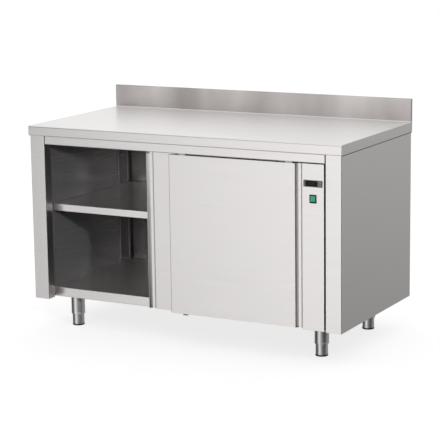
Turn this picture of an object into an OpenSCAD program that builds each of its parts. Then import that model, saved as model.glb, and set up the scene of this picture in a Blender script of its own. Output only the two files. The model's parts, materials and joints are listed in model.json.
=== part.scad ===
// Heated plate cupboard: stainless worktop with an upstand, two hanging sliding doors,
// a control strip beside them, one shelf, a fan heater and four adjustable legs.
// X runs to the right, Y to the back, Z up. The origin is on the floor under the middle.

/* [Overall] */
// Width over the worktop
width = 1400; // [1200:10:1800]
// Depth over the worktop
depth = 700; // [640:10:800]
// Height of the work surface above the floor
worktop_height = 850; // [820:5:950]
// Height of the floor clearance under the body
leg_height = 126; // [110:1:150]
// Thickness of the body sheets
sheet = 1.2; // [0.8:0.1:1.5]
// Inside radius of the folds
fold_radius = 1.5; // [0.8:0.1:3]

/* [Worktop] */
// Height of the worktop's front edge
worktop_edge = 40; // [36:1:60]
// Thickness of the worktop sheet
worktop_sheet = 1.5; // [1:0.1:2]
// Height of the upstand above the work surface
upstand_height = 96; // [60:1:150]
// Thickness of the upstand, front to back
upstand_thickness = 15; // [12:1:25]
// Inside radius of the rounded front edge
nose_radius = 5; // [2:0.5:8]
// Radius of the cove between worktop and upstand
cove_radius = 6; // [3:0.5:10]
// Width of the folded lip under the worktop
worktop_lip = 14; // [10:1:20]
// Thickness of the board that backs the worktop
board_thickness = 18; // [12:1:20]
// How far the worktop stands out past the body's sides
side_overhang = 3; // [2:0.5:10]
// How far the worktop stands out past the posts
front_overhang = 8; // [5:0.5:20]
// How far the worktop stands out past the body's back
back_overhang = 2; // [1:0.5:10]

/* [Body] */
// Width of the front face of each post
post_width = 67; // [60:1:90]
// Depth of each post
post_depth = 46; // [42:1:56]
// Height of the rail under the worktop
rail_height = 35; // [32:1:50]
// How far the rail stands behind the post faces
rail_setback = 1; // [0.5:0.5:3]
// Gap between the rail's ends and the posts
rail_end_gap = 3; // [0.5:0.5:6]
// Thickness of the insulated side wall
side_wall = 57; // [50:1:60]
// Thickness of the insulated back wall
back_wall = 23; // [18:1:60]
// Height of the floor above the underside of the body
floor_height = 39; // [34:1:60]
// Play beside sheets and boards that slot in
fitting_play = 0.2; // [0.1:0.05:0.3]

/* [Doors] */
// Thickness of each door
door_thickness = 15; // [15:0.5:17]
// Distance between the two doors' faces, front to back
door_pitch = 30; // [29:0.5:34]
// How far the front door's face stands behind the posts
door_setback = 15; // [15:0.5:18]
// Gap between the rail and the top of the doors
door_top_gap = 8; // [5:0.5:10]
// Rise of the doors' lower edge above the underside of the body
door_lift = 1; // [1:0.1:3]
// Gap between a closed door and the frame
door_end_gap = 3; // [2:0.5:6]
// Overlap of the two doors when both are closed
door_overlap = 11; // [8:1:30]
// Gap between the rear door and the floor's front edge
door_back_gap = 3; // [2:0.5:6]
// How far the left door stands short of its fully open place
left_door_short = 63.5; // [20:0.5:200]
// Space kept between one door's edge and the other's handle
handle_clearance = 24; // [22:1:40]

/* [Handles] */
// Width of the narrow rim outside the handle channel
handle_rim = 2.5; // [2.5:0.5:5]
// Width of the channel's flat bottom
handle_floor = 13; // [10:1:20]
// Width of each sloping wall of the channel
handle_slope = 9; // [7:0.5:11]
// Depth of the handle channel
handle_depth = 11; // [8:0.5:11]

/* [Door gear] */
// Radius of the rollers over the flanges
roller_radius = 12; // [10:0.5:12.5]
// Radius of the rollers in the groove
groove_radius = 10.5; // [8:0.5:11]
// Width of the rollers
roller_width = 10; // [8:0.5:10]
// Radius of the roller axles
axle_radius = 3; // [2:0.5:4]
// Running play round an axle or a pivot
running_play = 0.05; // [0.02:0.01:0.09]
// Gap between a roller and its rail
rolling_gap = 0.3; // [0.2:0.05:0.4]
// Thickness of hangers and tracks
gear_sheet = 2; // [1.5:0.1:2.5]
// Width of a hanger
hanger_width = 30; // [24:1:40]
// Distance from a door's end to its hanger's middle
hanger_inset = 60; // [45:1:120]
// Thickness of the guide fins under the doors
fin_thickness = 4; // [3:0.5:5]
// Width of the slot in the doors' lower edge
guide_slot = 7; // [6:0.5:8]
// Height of the slot in the doors' lower edge
guide_depth = 14; // [12:1:20]
// Length of the guide fins along the doors
guide_length = 20; // [12:1:30]
// Distance from the front door's closed left edge to its guide
guide_inset = 52; // [30:1:80]
// Gap between a guide and the end of its slot when a door is open
guide_end_gap = 5.8; // [3:0.1:10]

/* [Controls] */
// Width of the control panel
panel_width = 91; // [86:1:120]
// Gap between the control panel and the right post
panel_gap = 6; // [3:0.5:10]
// How far the control panel stands behind the post faces
panel_setback = 2; // [0.5:0.5:4]
// Depth of the control panel's folded edges
panel_fold = 18; // [14:1:18]
// Gap between the rail and the top of the control panel
panel_top_gap = 3.5; // [2:0.5:10]
// Distance from the panel's top to the thermostat's middle
thermostat_drop = 75; // [40:0.5:120]
// Width of the thermostat's front
thermostat_width = 77.5; // [74:0.5:80]
// Height of the thermostat's front
thermostat_height = 26; // [26:0.5:32]
// Distance between the middles of the thermostat and the switch
switch_drop = 58.5; // [45:0.5:100]
// Width of the switch's frame
switch_width = 29; // [26:0.5:32]
// Height of the switch's frame
switch_height = 33; // [31:0.5:38]
// Tilt of the rocker to each side
rocker_tilt = 7; // [4:0.5:9]
// Travel of the thermostat's buttons
button_travel = 0.8; // [0.5:0.1:1.2]
// Gap round the buttons and the rocker
button_gap = 0.3; // [0.2:0.05:0.4]

/* [Inside] */
// Height of the shelf's upper face above the floor of the cupboard
shelf_rise = 353; // [250:1:450]
// Height of the shelf's folded edges
shelf_edge = 28; // [20:1:40]
// Gap between the shelf and the walls
shelf_gap = 3; // [2:0.5:6]
// Width of the slotted uprights
upright_width = 70; // [60:1:90]
// How far the uprights stand out from the side walls
upright_depth = 8; // [6:0.5:12]
// Gap between the uprights and the back wall
upright_gap = 20; // [5:1:40]
// Distance between the slots of an upright
slot_pitch = 10; // [8:1:25]
// Height of each slot
slot_height = 4; // [3:0.5:6]
// Radius of the fan impeller
impeller_radius = 70; // [50:1:85]
// Number of impeller blades
blade_count = 12; // [8:1:16]
// Radius of the heating element's tube
element_radius = 4; // [3:0.5:5]
// Height of the heater's middle above the floor of the cupboard
heater_rise = 170; // [140:1:200]

/* [Legs] */
// Distance from the worktop's side edge to the middle of a leg
leg_side_inset = 138; // [100:1:200]
// Distance from the worktop's front or back edge to the middle of a leg
leg_end_inset = 122; // [122:1:160]
// Outside radius of the fixed leg tube
leg_radius = 28.5; // [26.5:0.5:32]
// Outside radius of the adjustable foot
foot_radius = 24.5; // [18:0.5:24.5]
// Wall of the leg tubes
leg_wall = 2; // [1.5:0.1:2]
// Height of the bottom end of the fixed tube
foot_reach = 50; // [40:1:60]
// Height of the black pad under each foot
pad_height = 6; // [4:0.5:12]

/* [Hidden] */
$fn = 48;
// Straight pieces in each fold of a sheet
fold_steps = 4;
// How far a cutting shape reaches past what it cuts
over = 1;

half_w = width / 2;
half_d = depth / 2;
body_top = worktop_height - worktop_edge;
body_bottom = leg_height;
post_face = -half_d + front_overhang;
post_back = post_face + post_depth;
side_x = half_w - side_overhang;
back_y = half_d - back_overhang;
post_inner = side_x - post_width;
rail_face = post_face + rail_setback;
rail_bottom = body_top - rail_height;
rail_fold = 14;
flange = 20;

opening_right = post_inner - panel_gap - panel_width;
opening_left = -post_inner;
door_width = (opening_right - opening_left - 2 * door_end_gap + door_overlap) / 2;
door_top = rail_bottom - door_top_gap;
door_bottom = body_bottom + door_lift;
door_height = door_top - door_bottom;
front_door_y = post_face + door_setback;
rear_door_y = front_door_y + door_pitch;
right_door_x = opening_right - door_end_gap - door_width;
handle_zone = handle_rim + 2 * handle_slope + handle_floor;
left_door_x = right_door_x - handle_clearance - handle_zone - left_door_short;
door_flange = 14;
// Where the guide slot starts, beside the handle channel
guide_end = handle_zone + sheet + fold_radius;

liner_x = side_x - side_wall;
liner_y = back_y - back_wall;
floor_front = rear_door_y + door_thickness + door_back_gap;
floor_top = body_bottom + floor_height;
ceiling_front = floor_front + 16;
ceiling_z = rail_bottom;
shelf_top = floor_top + shelf_rise;

// Door gear, measured from a door's face and the top of the doors
hanger_y = 1.5;
roller_y = hanger_y + gear_sheet + 0.5;
rail_lip_y = roller_y + roller_width / 2;
carrier_z = body_top - gear_sheet;
roller_z = carrier_z - roller_radius - 0.5;
rail_lip_top = roller_z - groove_radius - rolling_gap;
ledge_z = rail_lip_top - 6;
track_web_y = 23;
axle_head = 1.5;
buffer_length = 15;
left_travel_in = left_door_x - opening_left - door_end_gap;
left_travel_out = left_door_short;
right_travel = door_width - guide_end - guide_inset - guide_length - guide_end_gap;

panel_face = post_face + panel_setback;
panel_mid = opening_right + panel_width / 2;
panel_top = rail_bottom - panel_top_gap;
thermostat_z = panel_top - thermostat_drop;
switch_z = thermostat_z - switch_drop;
bezel_proud = 3;
case_play = 3;

leg_x = half_w - leg_side_inset;
leg_y = half_d - leg_end_inset;
leg_plate = 3;
leg_plate_half = 35;
tube_top = body_bottom + sheet - leg_plate;

heater_y = 60;
heater_z = floor_top + heater_rise;
heater_half = 100;
heater_depth = 66;
partition_back = opening_right + sheet;

gland_x = side_x - flange - 22;
gland_y = leg_y + 55;
gland_bore = 4.5;

steel = "gainsboro";
inner_steel = "darkgray";
dark_plastic = "dimgray";

function unit(v) = v / norm(v);
function left_of(d) = [-d.y, d.x];
function turned(v, a) = [v.x * cos(a) - v.y * sin(a), v.x * sin(a) + v.y * cos(a)];

// Points on one side of a folded sheet: path is its middle line, radii the fold radii on
// that line, and side the distance of the points to the left of the path
function fold_points(p, i, radius, side) =
    let (d1 = unit(p[i] - p[i - 1]), d2 = unit(p[i + 1] - p[i]))
    let (turn = sign(cross(d1, d2)), angle = acos(d1 * d2))
    let (centre = p[i] - d1 * radius * tan(angle / 2) + turn * radius * left_of(d1))
    [for (k = [0:fold_steps])
        centre - turn * (radius - turn * side) * turned(left_of(d1), turn * angle * k / fold_steps)];
function sheet_side(p, radii, side) = let (last = len(p) - 1)
    [p[0] + side * left_of(unit(p[1] - p[0])),
        for (i = [1:last - 1]) each fold_points(p, i, radii[i - 1], side),
        p[last] + side * left_of(unit(p[last] - p[last - 1]))];
function reversed(list) = [for (i = [len(list) - 1:-1:0]) list[i]];
function same(value, count) = [for (i = [1:count]) value];

// Cross-section of a sheet folded along a path
module folded(path, radii, thickness) {
    polygon(concat(sheet_side(path, radii, thickness / 2),
        reversed(sheet_side(path, radii, -thickness / 2))));
}

// Extrudes a shape drawn in Y and Z along X, from x0 to x1
module along_x(x0, x1) {
    translate([x0, 0, 0]) rotate([90, 0, 90]) linear_extrude(x1 - x0) children();
}

// Box between two corners
module span(a, b) {
    translate(a) cube(b - a);
}

// Worktop: one folded sheet with nose, cove and upstand, closed at both ends
worktop_mid = worktop_sheet / 2;
worktop_radii = [fold_radius + worktop_mid, nose_radius + worktop_mid, cove_radius + worktop_mid,
    fold_radius + worktop_mid, fold_radius + worktop_mid, fold_radius + worktop_mid];
worktop_path = [
    [-half_d + worktop_lip, body_top + worktop_mid],
    [-half_d + worktop_mid, body_top + worktop_mid],
    [-half_d + worktop_mid, worktop_height - worktop_mid],
    [half_d - upstand_thickness + worktop_mid, worktop_height - worktop_mid],
    [half_d - upstand_thickness + worktop_mid, worktop_height + upstand_height - worktop_mid],
    [half_d - worktop_mid, worktop_height + upstand_height - worktop_mid],
    [half_d - worktop_mid, body_top + worktop_mid],
    [half_d - worktop_lip, body_top + worktop_mid]];

module worktop() {
    color(steel) difference() {
        along_x(-half_w, half_w) polygon(sheet_side(worktop_path, worktop_radii, worktop_mid));
        along_x(-half_w + worktop_sheet, half_w - worktop_sheet)
            polygon(sheet_side(worktop_path, worktop_radii, -worktop_mid));
        span([-half_w + worktop_lip, -half_d + worktop_lip, body_top - over],
            [half_w - worktop_lip, half_d - worktop_lip, body_top + worktop_sheet + over]);
    }
}

board_top = worktop_height - worktop_sheet - fitting_play;
board_low = board_top - board_thickness;
module worktop_board() {
    x = half_w - worktop_sheet - fitting_play;
    color("burlywood") span([-x, -half_d + worktop_sheet + nose_radius, board_low],
        [x, half_d - upstand_thickness - cove_radius, board_top]);
}

// Hat channels between the body's top edges and the board
stiffener_width = 60;
stiffener_reach = half_w - worktop_lip - fitting_play;
module worktop_stiffeners() {
    top = board_low - sheet / 2;
    low = body_top + sheet / 2;
    half = stiffener_width / 2;
    for (y = [post_back + half + sheet, 0, half_d - worktop_lip - half - sheet])
        color(inner_steel) along_x(-stiffener_reach, stiffener_reach) folded(
            [[y - half, low], [y - half / 2, low], [y - half / 2, top],
                [y + half / 2, top], [y + half / 2, low], [y + half, low]],
            same(fold_radius + sheet / 2, 4), sheet);
}

// Outer side with its front post folded from the same sheet, and flanges top and bottom
module side_panel() {
    mid = sheet / 2;
    translate([0, 0, body_bottom]) linear_extrude(body_top - body_bottom) folded(
        [[liner_x, post_back - mid], [post_inner + mid, post_back - mid],
            [post_inner + mid, post_face + mid], [side_x - mid, post_face + mid],
            [side_x - mid, back_y - mid], [side_x - flange - mid, back_y - mid]],
        same(fold_radius + mid, 4), sheet);
    for (z = [body_bottom, body_top - sheet])
        span([side_x - flange, post_back + flange, z], [side_x - mid, back_y - flange, z + sheet]);
}
module left_side_panel() {
    color(steel) mirror([1, 0, 0]) side_panel();
}
module right_side_panel() {
    color(steel) side_panel();
}

// Outer back, behind the side panels' rear flanges, with air slots for the control space
air_slot_height = 5;
air_slot_pitch = 2.4 * air_slot_height;
air_slot_count = 8;
module back_panel() {
    x = side_x - sheet - fold_radius - fitting_play;
    slot_x = [opening_right + 25, side_x - flange - 15];
    slot_low = heater_z - 60;
    color(steel) difference() {
        span([-x, back_y - 2 * sheet, body_bottom + 2 * sheet],
            [x, back_y - sheet, body_top - sheet - fitting_play]);
        for (i = [0:air_slot_count - 1]) translate([0, 0, slot_low + air_slot_pitch * i])
            span([slot_x[0], back_y - 3 * sheet, 0], [slot_x[1], back_y, air_slot_height]);
    }
}

module front_rail() {
    mid = sheet / 2;
    x = post_inner - rail_end_gap;
    color(steel) along_x(-x, x) folded(
        [[rail_face + rail_fold, rail_bottom + mid], [rail_face + mid, rail_bottom + mid],
            [rail_face + mid, body_top - mid], [rail_face + rail_fold, body_top - mid]],
        same(fold_radius + mid, 2), sheet);
}

// Underside, cut back where the doors hang
module bottom_panel() {
    x = side_x - sheet - fitting_play;
    front = post_back + fitting_play;
    rear = back_y - sheet - fold_radius;
    box_front = panel_face + panel_fold + fitting_play;
    pan_front = floor_front + sheet + fold_radius + fitting_play;
    color(steel) translate([0, 0, body_bottom + sheet]) difference() {
        linear_extrude(sheet) polygon([[-x, front], [-liner_x, front], [-liner_x, pan_front],
            [opening_right, pan_front], [opening_right, box_front],
            [post_inner - fitting_play, box_front], [post_inner - fitting_play, front], [x, front],
            [x, rear], [-x, rear]]);
        translate([gland_x, gland_y, -over]) cylinder(r = gland_bore, h = sheet + 2 * over);
    }
}

pan_flange = 14;
// Cupboard floor: its front edge is the low rail behind the doors
module floor_pan() {
    mid = sheet / 2;
    color(steel) along_x(-liner_x + fitting_play, opening_right - fitting_play) folded(
        [[floor_front + pan_flange, body_bottom + mid], [floor_front + mid, body_bottom + mid],
            [floor_front + mid, floor_top - mid], [liner_y - fitting_play, floor_top - mid]],
        same(fold_radius + mid, 2), sheet);
}

liner_low = body_bottom + 2 * sheet;
module left_liner() {
    color(inner_steel) span([-liner_x - sheet, post_back + fitting_play, liner_low],
        [-liner_x, liner_y, ceiling_z]);
}

module back_liner() {
    color(inner_steel) span([-liner_x - sheet, liner_y, liner_low],
        [partition_back, liner_y + sheet, ceiling_z]);
}

module ceiling_liner() {
    mid = sheet / 2;
    color(inner_steel) along_x(-liner_x - sheet, partition_back) folded(
        [[ceiling_front + mid, carrier_z], [ceiling_front + mid, ceiling_z + mid],
            [liner_y + sheet, ceiling_z + mid]],
        [fold_radius + mid], sheet);
}

inlet_radius = impeller_radius - 10;
outlet = [2 * heater_half - 40, 10];
// Wall between the heated space and the control space: a round inlet before the fan, and an
// outlet slot above and below it
module partition() {
    color(inner_steel) difference() {
        span([opening_right, panel_face + panel_fold, liner_low], [partition_back, liner_y, ceiling_z]);
        translate([opening_right - over, heater_y, heater_z]) {
            rotate([0, 90, 0]) cylinder(r = inlet_radius, h = sheet + 2 * over);
            for (s = [-1, 1]) translate([0, -outlet.x / 2, s * (heater_half - outlet.y) - outlet.y / 2])
                cube([sheet + 2 * over, outlet.x, outlet.y]);
        }
    }
}

// Slabs of mineral wool in the left wall, the back, the ceiling and the floor
module insulation() {
    g = fitting_play;
    color("khaki") {
        span([-side_x + sheet + g, post_back + flange, body_bottom + 2 * sheet + g],
            [-liner_x - sheet - g, liner_y, body_top - sheet - g]);
        span([-liner_x, liner_y + sheet + g, body_bottom + 2 * sheet + g],
            [opening_right, back_y - 2 * sheet - g, ceiling_z - g]);
        span([-liner_x, ceiling_front + fold_radius + sheet, ceiling_z + sheet + g],
            [opening_right, liner_y, carrier_z - g]);
        span([-liner_x + fold_radius, floor_front + 2 * (fold_radius + sheet), body_bottom + 2 * sheet + g],
            [opening_right - fold_radius, liner_y - fold_radius, floor_top - sheet - g]);
    }
}

shelf_left = -liner_x + shelf_gap;
shelf_right = opening_right - shelf_gap;
shelf_front = floor_front + shelf_gap;
shelf_back = liner_y - shelf_gap;
shelf_notch = [upright_depth, upright_gap + upright_width];

// Shelf: a tray turned upside down, notched round the rear uprights
module shelf() {
    color(steel) difference() {
        span([shelf_left, shelf_front, shelf_top - shelf_edge], [shelf_right, shelf_back, shelf_top]);
        span([shelf_left + sheet, shelf_front + sheet, shelf_top - shelf_edge - over],
            [shelf_right - sheet, shelf_back - sheet, shelf_top - sheet]);
        for (x = [shelf_left - over, shelf_right + over - shelf_notch.x])
            span([x, shelf_back - shelf_notch.y, shelf_top - shelf_edge - over],
                [x + shelf_notch.x, shelf_back + over, shelf_top + over]);
    }
}

// Slotted channels in the rear corners of the side walls, with two columns of slots
slot_margin = 20;
slot_web = 6;
module upright() {
    mid = sheet / 2;
    back = liner_y - upright_gap;
    high = ceiling_z - floor_top;
    rows = floor((high - 2 * slot_margin) / slot_pitch);
    slot_length = upright_width / 2 - 2 * slot_web;
    slot_x = upright_depth - sheet - over;
    middle = back - upright_width / 2;
    translate([0, 0, floor_top]) difference() {
        linear_extrude(high) folded(
            [[0, back - upright_width + mid], [upright_depth - mid, back - upright_width + mid],
                [upright_depth - mid, back - mid], [0, back - mid]],
            same(fold_radius + mid, 2), sheet);
        for (i = [0:rows], y = [-slot_length - slot_web / 2, slot_web / 2])
            translate([slot_x, middle + y, slot_margin + slot_pitch * i])
                cube([sheet + 2 * over, slot_length, slot_height]);
    }
}
module shelf_uprights() {
    color(inner_steel) {
        translate([-liner_x, 0, 0]) upright();
        translate([opening_right, 0, 0]) mirror([1, 0, 0]) upright();
    }
}

// Angles under the shelf: on the walls in front, hooked into the uprights behind
support_width = 30;
support_reach = 24;
support_height = 26;
module support(x, y, reach) {
    z = shelf_top - shelf_edge;
    translate([x, y, z - sheet]) cube([reach, support_width, sheet]);
    translate([x, y, z - support_height]) cube([sheet, support_width, support_height]);
}
module shelf_supports() {
    front_y = shelf_front + 60;
    back_y = liner_y - upright_gap - upright_width / 2 - support_width / 2;
    color(inner_steel) {
        translate([-liner_x, 0, 0]) {
            support(0, front_y, support_reach);
            support(upright_depth, back_y, support_reach);
        }
        translate([opening_right, 0, 0]) mirror([1, 0, 0]) {
            support(0, front_y, support_reach);
            support(upright_depth, back_y, support_reach);
        }
    }
}

// Flat cross member that carries both door tracks
module track_carrier() {
    x = post_inner - fitting_play;
    color(inner_steel) span([-x, rail_face + rail_fold + fitting_play, carrier_z],
        [x, ceiling_front + flange, body_top]);
}

track_left = opening_left + sheet + fitting_play;
track_right = opening_right - fitting_play;
track_flange = 9;
track_fold_radius = 0.5;
// Track for the door whose face is at y: lip under the rollers, ledge, web and top flange
module track(y) {
    mid = gear_sheet / 2;
    color(inner_steel) along_x(track_left, track_right) folded(
        [[y + rail_lip_y, rail_lip_top], [y + rail_lip_y, ledge_z + mid],
            [y + track_web_y, ledge_z + mid], [y + track_web_y, carrier_z - mid],
            [y + track_web_y + track_flange, carrier_z - mid]],
        same(mid + track_fold_radius, 3), gear_sheet);
}
module front_track() track(front_door_y);
module rear_track() track(rear_door_y);

// Rubber blocks on the tracks that stop the hangers at the ends of their travel: a foot on
// the ledge and a nose over the lip
buffer_height = 14;
module buffer(x, y) {
    foot_low = ledge_z + gear_sheet;
    lip_back = y + rail_lip_y + gear_sheet;
    span([x, lip_back, foot_low],
        [x + buffer_length, y + track_web_y - gear_sheet / 2 - track_fold_radius, foot_low + buffer_height]);
    span([x, y + hanger_y, rail_lip_top + 1], [x + buffer_length, lip_back + 1, foot_low + buffer_height]);
}
module door_buffers() {
    stop = hanger_width / 2 + rolling_gap;
    color("black") {
        buffer(right_door_x + hanger_inset - right_travel - stop - buffer_length, front_door_y);
        buffer(right_door_x + door_width - hanger_inset + stop, front_door_y);
        buffer(left_door_x + hanger_inset - left_travel_in - stop - buffer_length, rear_door_y);
        buffer(left_door_x + door_width - hanger_inset + left_travel_out + stop, rear_door_y);
    }
}

// Guide fins that stand in the slots of the doors' lower edges, on cranked feet
guide_drop = 2.5;
guide_plate = 2;
front_guide_x = right_door_x + guide_inset + guide_length / 2;
rear_guide_x = left_door_x + (left_travel_out + guide_end + door_width - left_travel_in) / 2;
module guide(x, y) {
    fin_front = y + door_thickness / 2 - fin_thickness / 2;
    foot_back = floor_front + flange;
    low = body_bottom - guide_drop - guide_plate;
    fin_top = door_bottom + guide_depth - 4;
    translate([x - guide_length / 2, 0, 0]) {
        span([0, fin_front - 2, low], [guide_length, foot_back, body_bottom - guide_drop]);
        span([0, floor_front + 1, low], [guide_length, foot_back, body_bottom]);
        span([0, fin_front, low], [guide_length, fin_front + fin_thickness, fin_top]);
    }
}
module door_guides() {
    color(dark_plastic) {
        guide(front_guide_x, front_door_y);
        guide(rear_guide_x, rear_door_y);
    }
}

// Plan of a door's outer skin, with the handle channel next to its left end, the face at y = 0
door_mid = sheet / 2;
door_path = [
    [door_flange, door_thickness - door_mid],
    [door_mid, door_thickness - door_mid],
    [door_mid, door_mid],
    [handle_rim, door_mid],
    [handle_rim + handle_slope, handle_depth + door_mid],
    [handle_rim + handle_slope + handle_floor, handle_depth + door_mid],
    [handle_zone, door_mid],
    [door_width - door_mid, door_mid],
    [door_width - door_mid, door_thickness - door_mid],
    [door_width - door_flange, door_thickness - door_mid]];
door_radii = [fold_radius + door_mid, door_mid + 0.5, door_mid, fold_radius + door_mid,
    fold_radius + door_mid, fold_radius + door_mid, fold_radius + door_mid, fold_radius + door_mid];

guide_slot_y = (door_thickness - guide_slot) / 2;
module door_skin() {
    slot_end = door_width - sheet - fold_radius;
    color(steel) difference() {
        linear_extrude(door_height) polygon(sheet_side(door_path, door_radii, -door_mid));
        translate([0, 0, sheet]) linear_extrude(door_height - 2 * sheet)
            polygon(sheet_side(door_path, door_radii, door_mid));
        span([door_flange, door_thickness - sheet - over, door_flange],
            [door_width - door_flange, door_thickness + over, door_height - door_flange]);
        span([guide_end, guide_slot_y, -over], [slot_end, guide_slot_y + guide_slot, sheet + over]);
    }
}

// Inner sheet of a door, inside the skin's rear flanges, with a formed channel over the guide slot
module door_back() {
    inset = sheet + fold_radius + fitting_play;
    end = door_width - inset;
    plate_y = door_thickness - 2 * sheet;
    color(inner_steel) difference() {
        union() {
            span([inset, plate_y, sheet], [end, plate_y + sheet, door_height - sheet - fitting_play]);
            span([guide_end, guide_slot_y - sheet, sheet], [end, plate_y + sheet, guide_depth + sheet]);
        }
        span([guide_end - over, guide_slot_y, sheet - over],
            [end + over, guide_slot_y + guide_slot, guide_depth]);
    }
}

// Insulating core of a door
module door_core() {
    g = fitting_play;
    color("khaki") span([guide_end, sheet + g, guide_depth + sheet + g],
        [door_width - sheet - fold_radius, door_thickness - 2 * sheet - g, door_height - sheet - g]);
}

// Hangers on a door's top edge, each with its roller axle and retaining head
module hanger() {
    half = hanger_width / 2;
    axle_z = roller_z - door_bottom;
    roller_start = roller_y - hanger_y;
    axle_length = roller_start + roller_width + rolling_gap;
    span([-half, hanger_y, door_height], [half, hanger_y + gear_sheet, axle_z + 8]);
    span([-half, hanger_y, door_height], [half, door_thickness - 2, door_height + gear_sheet]);
    translate([0, hanger_y, axle_z]) rotate([-90, 0, 0]) {
        cylinder(r = axle_radius, h = axle_length);
        cylinder(r = axle_radius + axle_head, h = roller_start - running_play);
        translate([0, 0, axle_length]) cylinder(r = axle_radius + axle_head, h = axle_head);
    }
}
module door_hangers() {
    color(inner_steel) for (x = [hanger_inset, door_width - hanger_inset])
        translate([x, 0, 0]) hanger();
}

// Nylon roller with a rounded groove, turning about Y
module roller(x, y) {
    half = roller_width / 2;
    bore = axle_radius + running_play;
    color("whitesmoke") translate([x, y + roller_y + half, roller_z]) rotate([90, 0, 0])
        rotate_extrude() polygon([[bore, -half], [roller_radius, -half], [roller_radius, -half + 1],
            [groove_radius, -half + 2.5], [groove_radius, half - 2.5], [roller_radius, half - 1],
            [roller_radius, half], [bore, half]]);
}

// The left door's handle is at its left end, and the right door is its mirror image
module at_left_door() translate([left_door_x, rear_door_y, door_bottom]) children();
module at_right_door() translate([right_door_x + door_width, front_door_y, door_bottom])
    mirror([1, 0, 0]) children();

module left_door_skin() at_left_door() door_skin();
module left_door_back() at_left_door() door_back();
module left_door_core() at_left_door() door_core();
module left_door_hangers() at_left_door() door_hangers();
module left_door_roller_a() roller(left_door_x + hanger_inset, rear_door_y);
module left_door_roller_b() roller(left_door_x + door_width - hanger_inset, rear_door_y);
module right_door_skin() at_right_door() door_skin();
module right_door_back() at_right_door() door_back();
module right_door_core() at_right_door() door_core();
module right_door_hangers() at_right_door() door_hangers();
module right_door_roller_a() roller(right_door_x + hanger_inset, front_door_y);
module right_door_roller_b() roller(right_door_x + door_width - hanger_inset, front_door_y);

case_half = [thermostat_width / 2 - case_play, thermostat_height / 2 - case_play / 2];
switch_half = [switch_width / 2 - 2.5, switch_height / 2 - 2.5];

// Control panel: a tray with cut-outs for the thermostat and the switch
module control_panel() {
    right = opening_right + panel_width;
    back = panel_face + panel_fold;
    color(steel) difference() {
        span([opening_right, panel_face, door_bottom], [right, back, panel_top]);
        span([opening_right + sheet, panel_face + sheet, door_bottom + sheet],
            [right - sheet, back + over, panel_top - sheet]);
        translate([panel_mid, panel_face, thermostat_z])
            span([-case_half.x - fitting_play, -over, -case_half.y - fitting_play],
                [case_half.x + fitting_play, sheet + over, case_half.y + fitting_play]);
        translate([panel_mid, panel_face, switch_z])
            span([-switch_half.x - fitting_play, -over, -switch_half.y - fitting_play],
                [switch_half.x + fitting_play, sheet + over, switch_half.y + fitting_play]);
    }
}

window_width = 50;
window_left = -thermostat_width / 2 + 8.5;
window_half_height = thermostat_height / 2 - 2.5;
window_recess = 1;
window_thickness = 1.7;
case_depth = 55;
arrow_size = [11, (thermostat_height - 9) / 2];
arrow_x = window_left + window_width + 9.5;
arrow_z = arrow_size.y / 2 + 1;
set_size = [3.5, 12];
set_x = -thermostat_width / 2 + 5.5;
button_proud = 0.6;
button_face = panel_face - bezel_proud - button_proud;
button_length = 3;
pocket_depth = button_length - button_proud + button_travel + button_gap;

// Recess in the thermostat's front round one of its buttons
module pocket(x, z, size) {
    half = size / 2 + [button_gap, button_gap];
    span([x - half.x, -bezel_proud - over, z - half.y],
        [x + half.x, -bezel_proud + pocket_depth, z + half.y]);
}

// Thermostat: framed front on a deep case, with pockets for the window and the buttons
module thermostat_case() {
    half = [thermostat_width, thermostat_height] / 2;
    window_back = -bezel_proud + window_recess + 1;
    color(dark_plastic) translate([panel_mid, panel_face, thermostat_z]) difference() {
        union() {
            span([-half.x, -bezel_proud, -half.y], [half.x, 0, half.y]);
            span([-case_half.x, -over, -case_half.y], [case_half.x, case_depth, case_half.y]);
        }
        span([window_left, -bezel_proud - over, -window_half_height],
            [window_left + window_width, window_back, window_half_height]);
        for (z = [-arrow_z, arrow_z]) pocket(arrow_x, z, arrow_size);
        pocket(set_x, 0, set_size);
    }
}

module display_window() {
    half = window_half_height - fitting_play;
    front = -bezel_proud + window_recess + 1 - window_thickness;
    color("black") translate([panel_mid, panel_face, thermostat_z])
        span([window_left + fitting_play, front, -half],
            [window_left + window_width - fitting_play, front + window_thickness, half]);
}

module button(x, z, size) {
    color("slategray") translate([panel_mid + x, button_face, thermostat_z + z])
        span([-size.x / 2, 0, -size.y / 2], [size.x / 2, button_length, size.y / 2]);
}
module set_button() button(set_x, 0, set_size);
module up_button() button(arrow_x, arrow_z, arrow_size);
module down_button() button(arrow_x, -arrow_z, arrow_size);

rocker_half = switch_half - [2.5, 2.5];
rocker_axis = 4;
pin_radius = 1.5;
pin_reach = 1.8;
bearing_span = 2 * (rocker_half.x + pin_reach + 0.2);
frame_proud = 2;
// Switch frame with a well for the rocker and bearings for its pins
module switch_frame() {
    color("black") translate([panel_mid, panel_face, switch_z]) difference() {
        union() {
            span([-switch_width / 2, -frame_proud, -switch_height / 2],
                [switch_width / 2, 0, switch_height / 2]);
            span([-switch_half.x, -over, -switch_half.y], [switch_half.x, 24, switch_half.y]);
        }
        span([-rocker_half.x - button_gap, -frame_proud - over, -rocker_half.y - 1],
            [rocker_half.x + button_gap, 12, rocker_half.y + 1]);
        translate([0, rocker_axis, 0]) rotate([0, 90, 0])
            cylinder(r = pin_radius + running_play, h = bearing_span, center = true);
    }
}

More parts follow.
